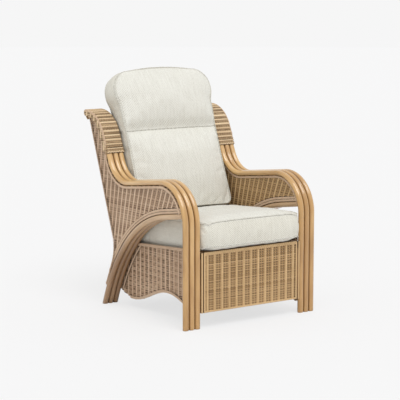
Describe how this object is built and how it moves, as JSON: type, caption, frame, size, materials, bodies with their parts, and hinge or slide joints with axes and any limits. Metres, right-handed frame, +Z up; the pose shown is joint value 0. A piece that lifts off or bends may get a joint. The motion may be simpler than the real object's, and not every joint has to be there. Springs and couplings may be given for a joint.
{
  "type": "cane armchair",
  "caption": "High-backed cane armchair with bent multi-pole side frames, woven panels, winged back and loose seat and back cushions.",
  "frame": {"origin": "on the floor, under the middle of the footprint", "axes": "+X to the right as seen from the front, the front faces -Y, +Z up"},
  "size_m": [0.721, 0.8482, 1.0827],
  "materials": {
    "pole": "satin lacquered bent cane pole, honey",
    "arch_pole": "satin lacquered bent cane pole, tan",
    "weave": "woven fine cane, matt",
    "rail": "plain cane and slat wood, matt",
    "cloth": "cream twill cushion cover"
  },
  "bodies": {
    "frame": {"back_panel": "weave", "back_rail_1": "rail", "back_rail_2": "rail", "back_rail_3": "rail", "back_skin": "weave", "front_apron": "weave", "front_rail": "rail", "left_arch_plait_inner": "weave", "left_arch_plait_outer": "weave", "left_arch_pole_inner": "arch_pole", "left_arch_pole_middle": "arch_pole", "left_arch_pole_outer": "arch_pole", "left_back_post": "rail", "left_band_pole_inner": "pole", "left_band_pole_middle": "pole", "left_band_pole_outer": "pole", "left_edge_post": "pole", "left_side_apron": "weave", "left_side_rail": "rail", "left_side_weave_inner": "weave", "left_side_weave_outer": "weave", "left_wing_wrap": "weave", "rear_rail": "rail", "right_arch_plait_inner": "weave", "right_arch_plait_outer": "weave", "right_arch_pole_inner": "arch_pole", "right_arch_pole_middle": "arch_pole", "right_arch_pole_outer": "arch_pole", "right_back_post": "rail", "right_band_pole_inner": "pole", "right_band_pole_middle": "pole", "right_band_pole_outer": "pole", "right_edge_post": "pole", "right_side_apron": "weave", "right_side_rail": "rail", "right_side_weave_inner": "weave", "right_side_weave_outer": "weave", "right_wing_wrap": "weave", "seat_slat_1": "rail", "seat_slat_2": "rail", "seat_slat_3": "rail", "seat_slat_4": "rail", "seat_slat_5": "rail", "seat_slat_6": "rail", "seat_slat_7": "rail", "seat_slat_8": "rail"},
    "seat": {"seat_cushion": "cloth"},
    "back": {"back_cushion": "cloth"}
  },
  "joints": [
    {"name": "seat_slide", "type": "slide", "parent": "frame", "child": "seat", "axis": [0, -0.9972, 0.075], "range_m": [0, 0.62]},
    {"name": "back_slide", "type": "slide", "parent": "frame", "child": "back", "axis": [0, 0.3502, 0.9367], "range_m": [0, 0.62]}
  ]
}
